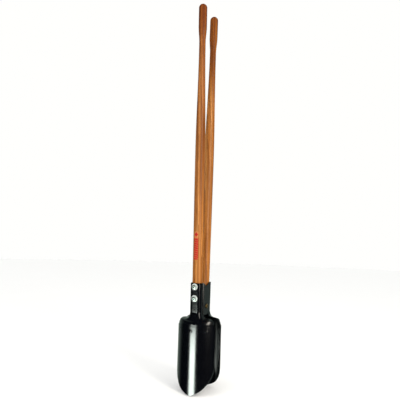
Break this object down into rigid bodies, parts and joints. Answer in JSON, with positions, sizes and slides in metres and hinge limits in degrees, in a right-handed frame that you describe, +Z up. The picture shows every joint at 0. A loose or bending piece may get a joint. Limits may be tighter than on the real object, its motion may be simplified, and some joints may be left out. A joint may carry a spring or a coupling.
{
  "type": "post hole digger",
  "caption": "Clam-shell post hole digger: curved pointed steel blades riveted to pivoting pressed-steel frames, each with a long bolted turned hardwood handle.",
  "frame": {"origin": "on the ground, midway between the two blade points, under the pivot", "axes": "+Z up the handles, X along the pivot, front half towards -Y; +X is the right side seen from the front"},
  "size_m": [0.1574, 0.157, 1.5511],
  "materials": {
    "hardwood": "clear varnish over turned hardwood, fine lengthwise grain",
    "blade_enamel": "gloss black enamel",
    "frame_enamel": "semi-gloss black enamel over pressed steel",
    "rivet_enamel": "gloss black enamel, worn bright on the crowns",
    "zinc": "bright zinc plate",
    "yellow_zinc": "dark yellow zinc plate"
  },
  "bodies": {
    "front_half": {"front_blade": "blade_enamel", "front_centre_rivet": "rivet_enamel", "front_frame": "frame_enamel", "front_handle": "hardwood", "front_left_rivet": "rivet_enamel", "front_lower_bolt": "zinc", "front_lower_nut": "zinc", "front_lower_washer": "zinc", "front_right_rivet": "rivet_enamel", "front_upper_bolt": "zinc", "front_upper_nut": "zinc", "front_upper_washer": "zinc", "left_pivot_bolt": "yellow_zinc", "left_pivot_inner_washer": "yellow_zinc", "left_pivot_nut": "yellow_zinc", "left_pivot_outer_washer": "yellow_zinc", "right_pivot_bolt": "yellow_zinc", "right_pivot_inner_washer": "yellow_zinc", "right_pivot_nut": "yellow_zinc", "right_pivot_outer_washer": "yellow_zinc"},
    "back_half": {"back_blade": "blade_enamel", "back_centre_rivet": "rivet_enamel", "back_frame": "frame_enamel", "back_handle": "hardwood", "back_left_rivet": "rivet_enamel", "back_lower_bolt": "zinc", "back_lower_nut": "zinc", "back_lower_washer": "zinc", "back_right_rivet": "rivet_enamel", "back_upper_bolt": "zinc", "back_upper_nut": "zinc", "back_upper_washer": "zinc"}
  },
  "joints": [
    {"name": "pivot", "type": "hinge", "parent": "front_half", "child": "back_half", "pos_m": [0, 0, 0.321], "axis": [-1, 0, 0], "range_deg": [-3.4, 13.2]}
  ]
}
